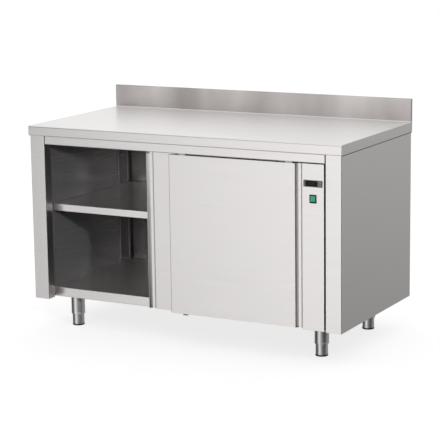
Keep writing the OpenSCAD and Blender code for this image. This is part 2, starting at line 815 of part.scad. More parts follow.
// Rocker with two flats that meet over its pins, tilted with its upper end pressed
module rocker() {
    reach = rocker_half.y - 0.8;
    crown = -rocker_axis - 3.2;
    color("limegreen") translate([panel_mid, panel_face + rocker_axis, switch_z])
        rotate([-rocker_tilt, 0, 0]) {
            along_x(-rocker_half.x, rocker_half.x) polygon([[crown, -reach], [crown + 1.6, 0],
                [crown, reach], [crown + 5, reach], [3, 4], [3, -4], [crown + 5, -reach]]);
            rotate([0, 90, 0]) cylinder(r = pin_radius, h = 2 * (rocker_half.x + pin_reach), center = true);
        }
}

// Slotted plate over the fan, on the cupboard's side of the partition
grille_pitch = 9;
grille_slot = 5;
module fan_grille() {
    half = heater_half;
    side_slots = 9;
    slot_half = half - 18;
    color(steel) difference() {
        span([opening_right - 2 * sheet, heater_y - half, heater_z - half],
            [opening_right, heater_y + half, heater_z + half]);
        span([opening_right - sheet, heater_y - half + 8, heater_z - half + 4],
            [opening_right + over, heater_y + half - 8, heater_z + half - 4]);
        for (i = [-side_slots:side_slots])
            translate([opening_right - 3 * sheet, heater_y + i * grille_pitch, heater_z])
                span([0, -grille_slot / 2, -slot_half], [3 * sheet, grille_slot / 2, slot_half]);
    }
}

// Ends of the ring element, measured from the fan's axis
element_ring = (impeller_radius + heater_half) / 2;
element_gap = 12;
element_end_radius = element_radius - 1;
element_end = element_ring * [sin(element_gap), -cos(element_gap)];

// Open-fronted box behind the partition that carries the fan motor
module heater_box() {
    half = heater_half;
    inner = half - sheet;
    long = heater_depth + over;
    color(inner_steel) translate([partition_back, heater_y, heater_z]) difference() {
        span([0, -half, -half], [heater_depth, half, half]);
        span([-over, -inner, -inner], [heater_depth - sheet, inner, inner]);
        rotate([0, 90, 0]) cylinder(r = 10, h = long);
        for (s = [-1, 1]) translate([0, s * element_end.x, element_end.y]) rotate([0, 90, 0])
            cylinder(r = element_end_radius + fitting_play, h = long);
    }
}

// Ring element round the impeller, with two straight ends through the back of its box
element_x = 30;
module heating_element() {
    color("saddlebrown") translate([partition_back + element_x, heater_y, heater_z]) {
        rotate([0, 90, 0]) rotate_extrude() translate([element_ring, 0]) circle(r = element_radius);
        for (s = [-1, 1]) translate([0, s * element_end.x, element_end.y])
            rotate([0, 90, 0]) cylinder(r = element_end_radius, h = heater_depth - element_x + 10);
    }
}

motor_radius = 34;
motor_length = 45;
shaft_radius = 4;
module fan_motor() {
    color(dark_plastic) translate([partition_back, heater_y, heater_z]) rotate([0, 90, 0]) {
        translate([0, 0, heater_depth]) cylinder(r = motor_radius, h = motor_length);
        translate([0, 0, heater_depth + motor_length]) cylinder(r = 12, h = 6);
        translate([0, 0, 12]) cylinder(r = shaft_radius, h = heater_depth);
    }
}

// Radial impeller: a disc with a hub and curved blades, turning about X
module fan_impeller() {
    hub = 11;
    blade_width = 28;
    blade_root = impeller_radius * 0.6;
    bend = impeller_radius * 0.45;
    fan_x = partition_back + 16;
    color(inner_steel) translate([fan_x, heater_y, heater_z]) rotate([0, 90, 0]) difference() {
        union() {
            translate([0, 0, blade_width]) cylinder(r = impeller_radius, h = 1.5);
            translate([0, 0, 6]) cylinder(r = hub, h = blade_width - 5);
            for (i = [0:blade_count - 1]) rotate([0, 0, 360 * i / blade_count])
                linear_extrude(blade_width + 0.5) intersection() {
                    translate([blade_root, -bend]) difference() {
                        circle(r = bend + 1);
                        circle(r = bend);
                    }
                    difference() {
                        circle(r = impeller_radius);
                        circle(r = blade_root);
                    }
                    translate([0, -impeller_radius]) square([impeller_radius, impeller_radius]);
                }
        }
        translate([0, 0, -over]) cylinder(r = shaft_radius + running_play, h = blade_width + 5);
    }
}

// Cable gland under the control space; its cable is not part of the model
module cable_gland() {
    color("black") translate([gland_x, gland_y, body_bottom + sheet]) difference() {
        union() {
            translate([0, 0, -5]) cylinder(r = 13, h = 5, $fn = 6);
            translate([0, 0, -14]) cylinder(r = 10, h = 10);
            translate([0, 0, -18]) cylinder(r1 = 7, r2 = 10, h = 4);
        }
        translate([0, 0, -20]) cylinder(r = gland_bore, h = 21);
    }
}

// Fixed leg tubes: plate, tube and a guide ring at the lower end
ring_height = 18;
module leg_tube() {
    bore = foot_radius + running_play;
    tube_length = tube_top - foot_reach;
    translate([-leg_plate_half, -leg_plate_half, tube_top])
        cube([2 * leg_plate_half, 2 * leg_plate_half, leg_plate]);
    translate([0, 0, foot_reach]) difference() {
        cylinder(r = leg_radius, h = tube_length + 0.5);
        translate([0, 0, ring_height])
            cylinder(r = leg_radius - leg_wall, h = tube_length - ring_height);
        translate([0, 0, -over]) cylinder(r = bore, h = ring_height + 2 * over);
    }
}
module at_leg(sx, sy) translate([sx * leg_x, sy * leg_y, 0]) children();
module leg_tubes() {
    color("silver") for (sx = [-1, 1], sy = [-1, 1]) at_leg(sx, sy) leg_tube();
}

// Adjustable foot: a tube that slides in the guide ring, closed just under the leg plate
module foot() {
    top = tube_top - rolling_gap;
    color("silver") difference() {
        translate([0, 0, pad_height]) cylinder(r = foot_radius, h = top - pad_height);
        translate([0, 0, pad_height - over]) cylinder(r = foot_radius - leg_wall, h = top - pad_height - 4);
    }
}
module pad() {
    color("black") {
        cylinder(r1 = foot_radius, r2 = foot_radius + 1, h = pad_height);
        cylinder(r = foot_radius - leg_wall - running_play, h = pad_height + 12);
    }
}
module front_left_foot() at_leg(-1, -1) foot();
module front_right_foot() at_leg(1, -1) foot();
module rear_left_foot() at_leg(-1, 1) foot();
module rear_right_foot() at_leg(1, 1) foot();
module front_left_pad() at_leg(-1, -1) pad();
module front_right_pad() at_leg(1, -1) pad();
module rear_left_pad() at_leg(-1, 1) pad();
module rear_right_pad() at_leg(1, 1) pad();

worktop();
worktop_board();
worktop_stiffeners();
left_side_panel();
right_side_panel();
back_panel();
front_rail();
bottom_panel();
floor_pan();
left_liner();
back_liner();
ceiling_liner();
partition();
insulation();
shelf();
shelf_uprights();
shelf_supports();
track_carrier();
front_track();
rear_track();
door_buffers();
door_guides();
right_door_skin();
right_door_back();
right_door_core();
right_door_hangers();
right_door_roller_a();
right_door_roller_b();
left_door_skin();
left_door_back();
left_door_core();
left_door_hangers();
left_door_roller_a();
left_door_roller_b();
control_panel();
thermostat_case();
display_window();
set_button();
up_button();
down_button();
switch_frame();
rocker();
fan_grille();
heater_box();
heating_element();
fan_motor();
fan_impeller();
cable_gland();
leg_tubes();
front_left_foot();
front_right_foot();
rear_left_foot();
rear_right_foot();
front_left_pad();
front_right_pad();
rear_left_pad();
rear_right_pad();
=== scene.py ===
import json
import math

import bmesh
import bpy
from mathutils import Matrix, Vector


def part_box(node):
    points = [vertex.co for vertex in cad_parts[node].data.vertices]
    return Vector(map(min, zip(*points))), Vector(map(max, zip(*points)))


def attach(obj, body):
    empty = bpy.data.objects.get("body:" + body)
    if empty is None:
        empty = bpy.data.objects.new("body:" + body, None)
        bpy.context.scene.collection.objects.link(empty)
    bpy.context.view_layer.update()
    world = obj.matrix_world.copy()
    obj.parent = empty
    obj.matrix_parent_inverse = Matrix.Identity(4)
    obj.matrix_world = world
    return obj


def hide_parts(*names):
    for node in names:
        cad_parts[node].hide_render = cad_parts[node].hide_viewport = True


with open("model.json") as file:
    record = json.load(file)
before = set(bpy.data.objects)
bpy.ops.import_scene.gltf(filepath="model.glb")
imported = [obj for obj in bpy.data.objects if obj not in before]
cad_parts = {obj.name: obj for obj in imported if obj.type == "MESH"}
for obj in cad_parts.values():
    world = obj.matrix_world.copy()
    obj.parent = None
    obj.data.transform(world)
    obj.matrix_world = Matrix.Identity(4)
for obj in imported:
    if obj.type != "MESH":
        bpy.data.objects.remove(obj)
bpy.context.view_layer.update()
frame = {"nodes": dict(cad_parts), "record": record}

nodes = frame["nodes"]
record = frame["record"]
collection = bpy.context.scene.collection
body_of = {n: b for b, members in record["behaviour"]["bodies"].items() for n in members}
slot_of = {s["node"]: s["material_slot"] for s in record["subparts"]}
# Pieces are sized in mm, and what surrounds them in metres
MM = 0.001
UP = (0, 0, 1)
bpy.context.scene.view_settings.view_transform = "Standard"


# Camera
SENSOR = 36


def place_camera(eye, yaw, pitch, roll, focal_px, pixels):
    """A camera without shift: its eye in mm, its angles in degrees and its focal length in pixels."""
    yaw, pitch, roll = map(math.radians, (yaw, pitch, roll))
    ahead = Vector((math.sin(yaw) * math.cos(pitch), math.cos(yaw) * math.cos(pitch), math.sin(pitch)))
    right = Vector((math.cos(yaw), -math.sin(yaw), 0))
    up = right.cross(ahead)
    rolled_right = right * math.cos(roll) + up * math.sin(roll)
    rolled_up = up * math.cos(roll) - right * math.sin(roll)
    matrix = Matrix((rolled_right, rolled_up, -ahead)).transposed().to_4x4()
    matrix.translation = Vector(eye) * MM
    camera = bpy.data.cameras.new("camera")
    camera.sensor_width = SENSOR
    camera.lens = focal_px * SENSOR / pixels
    camera.clip_end = 100
    ob = bpy.data.objects.new("camera", camera)
    ob.matrix_world = matrix
    collection.objects.link(ob)
    bpy.context.scene.camera = ob


# Fitted to the corners and straight edges of the photo
place_camera(eye=(3227, -5985, 1776), yaw=-28.36, pitch=-11.03, roll=-0.76, focal_px=1682.5, pixels=440)


# Surroundings
# Soft dark screens, and one soft box in front: direction, cosine where the soft edge ends, cosine inside
# which it is full, and what it adds to the white's strength
SCREENS = [
    ((0.55, 0.82, -0.19), 0.60, 0.93, -0.47),
    ((-0.70, -0.66, 0.27), 0.86, 0.97, -0.98),
    ((-0.34, -0.93, 0.0), 0.87, 0.99, 0.48),
    ((-0.97, -0.20, -0.15), 0.80, 0.93, -0.80),
    ((0.94, -0.30, -0.19), 0.78, 0.92, -0.92),
    ((0, 0, -1), 0.0, 0.55, -0.48),
    ((-0.82, -0.54, -0.19), 0.86, 0.98, -0.50),
    ((0.47, -0.88, 0.0), 0.86, 0.96, -0.70),
]
# Least strength of the white, where screens overlap
DARKEST = 0.03


def math_node(tree, operation, a, b):
    """Output of a maths node on two values, each a number or a socket."""
    n = tree.nodes.new("ShaderNodeMath")
    n.operation = operation
    for value, socket in zip((a, b), n.inputs):
        if isinstance(value, (int, float)):
            socket.default_value = value
        else:
            tree.links.new(value, socket)
    return n.outputs[0]


def studio_world():
    """A white studio. The camera sees plain white, and the steel also sees the soft dark screens."""
    world = bpy.data.worlds.new("studio")
    bpy.context.scene.world = world
    world.use_nodes = True
    t = world.node_tree
    t.nodes.clear()
    coord = t.nodes.new("ShaderNodeTexCoord")
    strength = 1.0
    for direction, low, high, level in SCREENS:
        dot = t.nodes.new("ShaderNodeVectorMath")
        dot.operation = "DOT_PRODUCT"
        dot.inputs[1].default_value = Vector(direction).normalized()
        t.links.new(coord.outputs["Generated"], dot.inputs[0])
        ramp = t.nodes.new("ShaderNodeMapRange")
        ramp.interpolation_type = "SMOOTHSTEP"
        ramp.inputs["From Min"].default_value = low
        ramp.inputs["From Max"].default_value = high
        ramp.inputs["To Max"].default_value = level
        t.links.new(dot.outputs["Value"], ramp.inputs["Value"])
        strength = math_node(t, "ADD", ramp.outputs["Result"], strength)
    strength = math_node(t, "MAXIMUM", strength, DARKEST)
    path = t.nodes.new("ShaderNodeLightPath")
    strength = math_node(t, "MAXIMUM", strength, path.outputs["Is Camera Ray"])
    white = t.nodes.new("ShaderNodeBackground")
    white.inputs["Color"].default_value = (1, 1, 1, 1)
    t.links.new(strength, white.inputs["Strength"])
    out = t.nodes.new("ShaderNodeOutputWorld")
    t.links.new(white.outputs[0], out.inputs[0])


studio_world()


# Half the floor's side in metres, its colour, and its own light as the camera sees it
FLOOR_HALF = 9
FLOOR_TONE = (0.35, 0.35, 0.35, 1)
FLOOR_GLOW = 0.72


def studio_floor():
    """A plain white floor with the object's soft shadow. The steel sees the studio's white instead."""
    corners = [(x * FLOOR_HALF, y * FLOOR_HALF, 0) for x, y in ((-1, -1), (1, -1), (1, 1), (-1, 1))]
    mesh = bpy.data.meshes.new("floor")
    mesh.from_pydata(corners, [], [(0, 1, 2, 3)])
    floor = bpy.data.objects.new("floor", mesh)
    collection.objects.link(floor)
    look = bpy.data.materials.new("floor")
    look.use_nodes = True
    t = look.node_tree
    bsdf = next(n for n in t.nodes if n.type == "BSDF_PRINCIPLED")
    bsdf.inputs["Roughness"].default_value = 1.0
    bsdf.inputs["Specular IOR Level"].default_value = 0.0
    bsdf.inputs["Base Color"].default_value = FLOOR_TONE
    path = t.nodes.new("ShaderNodeLightPath")
    shown = math_node(t, "ADD", path.outputs["Is Camera Ray"], path.outputs["Is Transmission Ray"])
    bsdf.inputs["Emission Color"].default_value = (1, 1, 1, 1)
    t.links.new(math_node(t, "MULTIPLY", shown, FLOOR_GLOW), bsdf.inputs["Emission Strength"])
    mesh.materials.append(look)
    floor.visible_glossy = False


studio_floor()


def hang(name, light, at, aim):
    """Hangs a lamp at a place in metres, aimed at another."""
    ob = bpy.data.objects.new(name, light)
    ob.location = at
    ob.rotation_euler = (Vector(aim) - Vector(at)).to_track_quat("-Z", "Y").to_euler()
    collection.objects.link(ob)


def area_light(name, at, aim, size, power):
    light = bpy.data.lights.new(name, "AREA")
    light.shape = "RECTANGLE"
    light.size, light.size_y = size
    light.energy = power
    hang(name, light, at, aim)


def spot_light(name, at, aim, angle, power, size):
    """A soft-edged spot whose cone is angle degrees wide and whose lamp has a radius of size."""
    light = bpy.data.lights.new(name, "SPOT")
    light.spot_size = math.radians(angle)
    light.spot_blend = 0.6
    light.shadow_soft_size = size
    light.energy = power
    hang(name, light, at, aim)


area_light("key", at=(0.8, -4.6, 3.4), aim=(0, 0, 0.5), size=(2.4, 2.4), power=8)
# Two spots light what the photo shows bright inside the cupboard: its left wall and its rear left corner
spot_light("left_wall", at=(2.4, -1.9, 1.35), aim=(-0.64, -0.14, 0.46), angle=17, power=190, size=0.1)
spot_light("back_corner", at=(1.3, -4.3, 1.3), aim=(-0.56, 0.325, 0.5), angle=9, power=110, size=0.2)


# Materials
class Shader:
    """A material with short names for the nodes that it is made of."""

    def __init__(self, name):
        self.material = bpy.data.materials.new(name)
        self.material.use_nodes = True
        self.t = self.material.node_tree
        self.bsdf = next(n for n in self.t.nodes if n.type == "BSDF_PRINCIPLED")
        self.coord = self.t.nodes.new("ShaderNodeTexCoord").outputs["Object"]
        self.normal = None

    def set(self, **values):
        """Constants of the shader's own sockets, named with underscores for spaces."""
        for key, value in values.items():
            self.bsdf.inputs[key.replace("_", " ")].default_value = value
        return self

    def stretched(self, scale):
        """The object's coordinates, scaled along each axis."""
        n = self.t.nodes.new("ShaderNodeMapping")
        n.inputs["Scale"].default_value = scale
        self.t.links.new(self.coord, n.inputs["Vector"])
        return n.outputs["Vector"]

    def noise(self, scale, stretch=(1, 1, 1), detail=3.0, rough=0.55):
        n = self.t.nodes.new("ShaderNodeTexNoise")
        n.inputs["Scale"].default_value = scale
        n.inputs["Detail"].default_value = detail
        n.inputs["Roughness"].default_value = rough
        self.t.links.new(self.stretched(stretch), n.inputs["Vector"])
        return n.outputs["Fac"]

    def voronoi(self, scale):
        n = self.t.nodes.new("ShaderNodeTexVoronoi")
        n.inputs["Scale"].default_value = scale
        self.t.links.new(self.coord, n.inputs["Vector"])
        return n.outputs["Distance"]

    def part_of(self, coordinate, axis):
        """One part of the object's own coordinate or normal."""
        apart = self.t.nodes.new("ShaderNodeSeparateXYZ")
        self.t.links.new(self.coord.node.outputs[coordinate], apart.inputs[0])
        return apart.outputs[axis]

    def range(self, value, low, high, start=0.3, end=0.7):
        """A number from low to high as the value goes from start to end."""
        n = self.t.nodes.new("ShaderNodeMapRange")
        n.inputs["From Min"].default_value = start
        n.inputs["From Max"].default_value = end
        n.inputs["To Min"].default_value = low
        n.inputs["To Max"].default_value = high
        self.t.links.new(value, n.inputs["Value"])
        return n.outputs["Result"]

    def colours(self, value, a, b, start=0.3, end=0.7):
        """A colour from a to b as the value goes from start to end."""
        n = self.t.nodes.new("ShaderNodeValToRGB")
        n.color_ramp.elements[0].position = start
        n.color_ramp.elements[1].position = end
        n.color_ramp.elements[0].color = (*a, 1)
        n.color_ramp.elements[1].color = (*b, 1)
        self.t.links.new(value, n.inputs["Fac"])
        return n.outputs["Color"]

    def mix(self, factor, a, b):
        """A colour between a and b; each of the three may be a constant or a socket."""
        n = self.t.nodes.new("ShaderNodeMix")
        n.data_type = "RGBA"
        ins = [i for i in n.inputs if i.type == "RGBA"]
        if isinstance(factor, float):
            n.inputs["Factor"].default_value = factor
        else:
            self.t.links.new(factor, n.inputs["Factor"])
        for source, target in ((a, ins[0]), (b, ins[1])):
            if isinstance(source, tuple):
                target.default_value = (*source, 1)
            else:
                self.t.links.new(source, target)
        return next(o for o in n.outputs if o.type == "RGBA")

    def link(self, value, name):
        self.t.links.new(value, self.bsdf.inputs[name])
        return self

    def bump(self, height, strength, distance):
        """Adds relief, distance metres high, to the relief that is there."""
        b = self.t.nodes.new("ShaderNodeBump")
        b.inputs["Strength"].default_value = strength
        b.inputs["Distance"].default_value = distance
        self.t.links.new(height, b.inputs["Height"])
        if self.normal is not None:
            self.t.links.new(self.normal, b.inputs["Normal"])
        self.normal = b.outputs["Normal"]
        self.t.links.new(self.normal, self.bsdf.inputs["Normal"])
        return self


# Grain of the steel, as scales along X, Y and Z: it runs along the axis whose scale is small
X_GRAIN = (3, 700, 700)
Y_GRAIN = (700, 3, 700)
LEG_GRAIN = (700, 700, 20)
STEEL = (0.80, 0.777, 0.765)
STEEL_ROUGHNESS = 0.30
# How much of the tone is smears, and how far the roughness goes below and above its value
SMEAR_SHARE = 0.45
DULLER = 0.04
GLOSSIER = 0.03
# Relief in metres
GRAIN_RELIEF = 0.00004
WAVE_RELIEF = 0.0006
PLASTIC_RELIEF = 0.00005


def scaled(colour, factor):
    return tuple(min(1, c * factor) for c in colour)


def brushed(name, colour, roughness, grain, spread=0.02, strength=0.06, metal=1.0):
    """Sheet steel with lines along its grain, faint smears and slow waves."""
    s = Shader(name)
    s.set(Metallic=metal)
    lines = s.noise(1.0, grain, detail=4.0, rough=0.6)
    smears = s.noise(2.3, detail=2.0, rough=0.5)
    streaks = s.colours(lines, scaled(colour, 1 - spread), scaled(colour, 1 + spread))
    shade = s.colours(smears, scaled(colour, 1 - 0.6 * spread), colour)
    s.tone = s.mix(SMEAR_SHARE, streaks, shade)
    s.link(s.tone, "Base Color")
    s.link(s.range(lines, roughness - GLOSSIER, roughness + DULLER), "Roughness")
    s.bump(lines, strength, GRAIN_RELIEF)
    s.bump(s.noise(1.1, detail=1.0), 0.05, WAVE_RELIEF)
    return s


def worktop_look():
    """Steel with a work surface wiped dull and a darker upstand: painted shade for the upstand's
    reflection.
    """
    s = brushed("worktop_steel", STEEL, STEEL_ROUGHNESS, X_GRAIN)
    surface = max(nodes["worktop"].data.polygons, key=lambda f: f.area * (f.normal.z > 0.9)).center.z
    s.link(s.range(s.part_of("Normal", "Z"), 1.0, 0.22, 0.90, 0.98), "Metallic")
    # Painted shade: a darker, noisy tone on the upstand that stands in for its darker reflection
    upstand_painted_shade = s.colours(s.noise(2.2, (2, 1, 1), 2.0), (0.46, 0.425, 0.42), (0.68, 0.645, 0.635))
    above = s.range(s.part_of("Object", "Z"), 0, 1, surface + 0.002, surface + 0.006)
    s.link(s.mix(above, s.tone, upstand_painted_shade), "Base Color")
    return s


def plastic(name, colour, roughness, grain=900.0, strength=0.2, gloss=0.5):
    """Moulded plastic, rubber or paint with a finely pitted skin."""
    s = Shader(name)
    s.set(Specular_IOR_Level=gloss)
    fine = s.noise(grain, detail=2.0)
    broad = s.noise(30.0)
    s.link(s.colours(broad, scaled(colour, 0.9), scaled(colour, 1.1)), "Base Color")
    s.link(s.range(fine, roughness - 0.06, roughness + 0.08), "Roughness")
    return s.bump(fine, strength, PLASTIC_RELIEF)


# Looks by slot, and by node where a node's look isn't its slot's
looks = {
    "satin_steel": brushed("satin_steel", STEEL, STEEL_ROUGHNESS, X_GRAIN),
    "worktop": worktop_look(),
    # The inner steel is much darker than the outer steel: painted shade for the cupboard's dark inside
    "bright_steel": brushed("bright_steel", (0.32, 0.31, 0.31), 0.20, Y_GRAIN, 0.03, 0.05, 0.95),
    # The left liner is a lighter, less metallic copy of the inner steel, so that the spots light it
    # brighter: painted light
    "left_liner": brushed("left_liner_lit_copy", (0.40, 0.395, 0.395), 0.24, Y_GRAIN, 0.03, 0.03, 0.75),
    "zinc_steel": brushed("zinc_steel", (0.55, 0.56, 0.57), 0.42, X_GRAIN, 0.08),
    "leg_steel": brushed("leg_steel", (0.76, 0.745, 0.735), 0.38, LEG_GRAIN, 0.05),
    "black_rubber": plastic("black_rubber", (0.025, 0.025, 0.026), 0.75, 1200.0, 0.35, 0.3),
    "black_plastic": plastic("black_plastic", (0.03, 0.03, 0.032), 0.45),
    "roller_nylon": plastic("roller_nylon", (0.72, 0.72, 0.68), 0.42, 700.0, 0.12),
    "grey_plastic": plastic("grey_plastic", (0.20, 0.20, 0.205), 0.48),
    "button_plastic": plastic("button_plastic", (0.34, 0.345, 0.35), 0.45),
    "window_black": plastic("window_black", (0.004, 0.003, 0.003), 0.30, 300.0, 0.02, 0.15),
    "motor_grey": plastic("motor_grey", (0.12, 0.125, 0.13), 0.5, 500.0, 0.3),
}


def green_rocker():
    s = Shader("green_rocker")
    glow = s.noise(90.0)
    s.link(s.colours(glow, (0.02, 0.20, 0.12), (0.05, 0.30, 0.18)), "Base Color")
    s.link(s.colours(glow, (0.02, 0.25, 0.14), (0.05, 0.36, 0.22)), "Emission Color")
    s.set(Emission_Strength=0.5, Roughness=0.25)
    return s


def wood_board():
    s = Shader("board")
    fibre = s.noise(1.0, (30, 300, 300), 5.0)
    chips = s.voronoi(260.0)
    fibres = s.colours(fibre, (0.40, 0.27, 0.15), (0.62, 0.47, 0.30))
    s.link(s.mix(chips, (0.50, 0.36, 0.22), fibres), "Base Color")
    s.set(Roughness=0.7)
    return s.bump(chips, 0.3, 0.0004)


def wool():
    s = Shader("wool")
    fibre = s.noise(60.0, (1, 1, 6), 6.0, 0.7)
    s.link(s.colours(fibre, (0.42, 0.35, 0.18), (0.70, 0.62, 0.40)), "Base Color")
    s.set(Roughness=0.95)
    return s.bump(fibre, 0.7, 0.002)


def foam():
    s = Shader("foam")
    cells = s.voronoi(700.0)
    s.link(s.colours(cells, (0.55, 0.48, 0.30), (0.78, 0.71, 0.52), 0.1, 0.8), "Base Color")
    s.set(Roughness=0.9)
    return s.bump(cells, 0.5, 0.0005)


def tinted_sheath():
    s = Shader("element_sheath")
    tint = s.noise(14.0)
    s.link(s.colours(tint, (0.16, 0.12, 0.13), (0.40, 0.30, 0.22)), "Base Color")
    s.set(Metallic=1.0)
    s.link(s.range(tint, 0.28, 0.5), "Roughness")
    return s.bump(s.noise(400.0), 0.15, 0.0001)


def digit_look():
    s = Shader("unlit_digit")
    s.link(s.colours(s.noise(200.0), (0.030, 0.012, 0.012), (0.045, 0.018, 0.017)), "Base Color")
    s.set(Roughness=0.3)
    return s


looks.update(green_rocker=green_rocker(), board=wood_board(), wool=wool(), foam=foam(),
             element_sheath=tinted_sheath())


# Pieces
CREASE = math.radians(38)
BEVEL_STEPS = 3
# Corners nearer than WELD, in metres, become one, and faces that turn less than ONE_PLANE are joined
WELD = 1e-6
ONE_PLANE = math.radians(0.5)
# An edge that turns less than this, in radians, lies between flat neighbours
FLAT_EDGE = 0.01


def finish_mesh(ob, look, bevel):
    """Smooth shading with sharp creases kept, and every crease rounded by bevel."""
    mesh = ob.data
    mesh.materials.clear()
    mesh.materials.append(look.material)
    mesh.shade_smooth()
    mesh.set_sharp_from_angle(angle=CREASE)
    if bevel:
        b = ob.modifiers.new("bevel", "BEVEL")
        b.width = bevel * MM
        b.segments = BEVEL_STEPS
        b.limit_method = "ANGLE"
        b.angle_limit = CREASE
        b.use_clamp_overlap = True
    flat = ob.modifiers.new("flat faces", "WEIGHTED_NORMAL")
    flat.keep_sharp = True
    flat.weight = 100


def from_bmesh(name, bm, body, slot, bevel, look=None):
    """A piece of the scene, with its slot's look if no look is given."""
    mesh = bpy.data.meshes.new(name)
    bm.normal_update()
    bm.to_mesh(mesh)
    bm.free()
    ob = bpy.data.objects.new(name, mesh)
    collection.objects.link(ob)
    finish_mesh(ob, look or looks[slot], bevel)
    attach(ob, body)
    return ob


def refined(node, bevel):
    """The node's shape with clean faces, rounded creases and smooth folds, in its place."""
    bm = bmesh.new()
    bm.from_mesh(nodes[node].data)
    bmesh.ops.remove_doubles(bm, verts=bm.verts, dist=WELD)
    bmesh.ops.dissolve_limit(bm, angle_limit=ONE_PLANE, verts=bm.verts, edges=bm.edges)
    # Flat neighbours are left only round an opening, where a many-sided face would close it
    round_openings = [f for f in bm.faces
                      if len(f.verts) > 4 and any(e.calc_face_angle(1) < FLAT_EDGE for e in f.edges)]
    bmesh.ops.triangulate(bm, faces=round_openings)
    ob = from_bmesh(node + "_shown", bm, body_of[node], slot_of[node], bevel, looks.get(node))
    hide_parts(node)


CORNERS = ("front_left", "front_right", "rear_left", "rear_right")
# Width of the rounding along creases, for the pieces whose creases show
BEVELS = {
    "worktop": 0.5, "left_side_panel": 0.3, "right_side_panel": 0.3, "front_rail": 0.3, "floor_pan": 0.3,
    "left_door_skin": 0.35, "right_door_skin": 0.35, "control_panel": 0.7, "shelf": 1.2,
    "thermostat_case": 0.7, "display_window": 0.3, "set_button": 0.4, "up_button": 0.4, "down_button": 0.4,
    "switch_frame": 0.8, "rocker": 0.2, "door_guides": 0.5, "door_buffers": 0.8,
    "front_track": 0.2, "rear_track": 0.2, "left_door_hangers": 0.3, "right_door_hangers": 0.3,
    "leg_tubes": 0.5,
}
BEVELS.update({corner + "_foot": 0.5 for corner in CORNERS})
BEVELS.update({corner + "_pad": 0.8 for corner in CORNERS})
for node, bevel in BEVELS.items():
    refined(node, bevel)
for node, ob in nodes.items():
    look = looks.get(node) or looks[slot_of[node]]
    ob.data.materials.clear()
    ob.data.materials.append(look.material)


# Small fittings
def placed(direction, at):
    """Matrix that turns +Z to direction and moves to at, in metres."""
    m = Vector(direction).to_track_quat("Z", "Y").to_matrix().to_4x4()
    m.translation = Vector(at)
    return m


def lathe(bm, profile, matrix, steps=32):
    """Adds a turned shape: profile is radius and height in mm, from the axis out and back to it."""
    turns = [2 * math.pi * i / steps for i in range(steps)]
    rings = []
    for r, z in profile:
        if r == 0:
            corners = [Vector((0, 0, z * MM))]
        else:
            corners = [Vector((r * MM * math.cos(a), r * MM * math.sin(a), z * MM)) for a in turns]
        rings.append([bm.verts.new(matrix @ corner) for corner in corners])
    for a, b in zip(rings, rings[1:]):
        for i in range(steps):
            j = (i + 1) % steps
            quad = [a[i % len(a)], a[j % len(a)], b[j % len(b)], b[i % len(b)]]
            quad = [v for k, v in enumerate(quad) if v not in quad[:k]]
            if len(quad) > 2:
                bm.faces.new(quad)


def rounded_slab(bm, low, high):
    """Adds a box between two corners in mm; its creases are rounded by the piece's bevel."""
    low, high = Vector(low), Vector(high)
    for v in bmesh.ops.create_cube(bm, size=1)["verts"]:
        v.co = Vector(((low[k] + high[k]) / 2 + v.co[k] * (high[k] - low[k])) * MM for k in range(3))


def fittings(name, body, slot, bevel=0.0, parts=(), look=None):
    """One piece made of turned shapes, each a profile, a place in mm, a direction and a number of steps."""
    bm = bmesh.new()
    for profile, at, direction, steps in parts:
        lathe(bm, profile, placed(direction, Vector(at) * MM), steps)
    bmesh.ops.recalc_face_normals(bm, faces=bm.faces)
    from_bmesh(name, bm, body, slot, bevel, look)


def low_high(node):
    """The node's two outer corners in mm."""
    low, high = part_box(node)
    return Vector(low) / MM, Vector(high) / MM


def pan_head(r, h):
    """Profile of a rounded screw or rivet head with a hollow in its middle."""
    return [(0, 0), (r, 0), (r, 0.35 * h), (0.9 * r, 0.7 * h), (0.6 * r, 0.95 * h), (0.42 * r, h),
            (0.3 * r, 0.55 * h), (0, 0.5 * h)]


def hex_head(r, h):
    """Profile of a bolt's head on its washer; with 6 steps round, both are hexagons."""
    return [(0, 0), (1.25 * r, 0), (1.25 * r, 0.15 * h), (r, 0.15 * h), (r, 0.9 * h), (0.86 * r, h), (0, h)]


# Screws on the hangers' feet
HANGER_FOOT_THICK = 2
# From the hanger's outer end and from its front
HANGER_FOOT_MIDDLE = (15, 7.5)
HANGER_SCREW_OFFSET = 9
HANGER_SCREW = pan_head(2.8, 1.8)
for side in ("left", "right"):
    low, high = low_high(side + "_door_hangers")
    inward, deep = HANGER_FOOT_MIDDLE
    parts = []
    for x in (low.x + inward, high.x - inward):
        for dx in (-HANGER_SCREW_OFFSET, HANGER_SCREW_OFFSET):
            at = (x + dx, low.y + deep, low.z + HANGER_FOOT_THICK)
            parts.append((HANGER_SCREW, at, UP, 20))
    fittings(side + "_hanger_screws", side + "_door", "zinc_steel", parts=parts)

# Four bolts under each leg's plate
PLATE_THICK = 3
PLATE_LOW = low_high("leg_tubes")[1].z - PLATE_THICK
BOLT_OFFSET = 29
BOLT = hex_head(4, 3.4)
LEGS = {}
for corner in CORNERS:
    low, high = low_high(corner + "_foot")
    LEGS[corner] = Vector(((low.x + high.x) / 2, (low.y + high.y) / 2, 0))
bolts = []
for at in LEGS.values():
    for dx in (-BOLT_OFFSET, BOLT_OFFSET):
        for dy in (-BOLT_OFFSET, BOLT_OFFSET):
            bolts.append((BOLT, (at.x + dx, at.y + dy, PLATE_LOW), (0, 0, -1), 6))
fittings("leg_plate_bolts", "cabinet", "zinc_steel", 0.2, bolts)

# Screws in the corners of the fan's grille
GRILLE_EDGE = 6
GRILLE_SCREW = pan_head(3, 1.6)
low, high = low_high("fan_grille")
fittings("grille_screws", "cabinet", "satin_steel", parts=[
    (GRILLE_SCREW, (low.x, y, z), (-1, 0, 0), 20)
    for y in (low.y + GRILLE_EDGE, high.y - GRILLE_EDGE)
    for z in (low.z + GRILLE_EDGE, high.z - GRILLE_EDGE)])

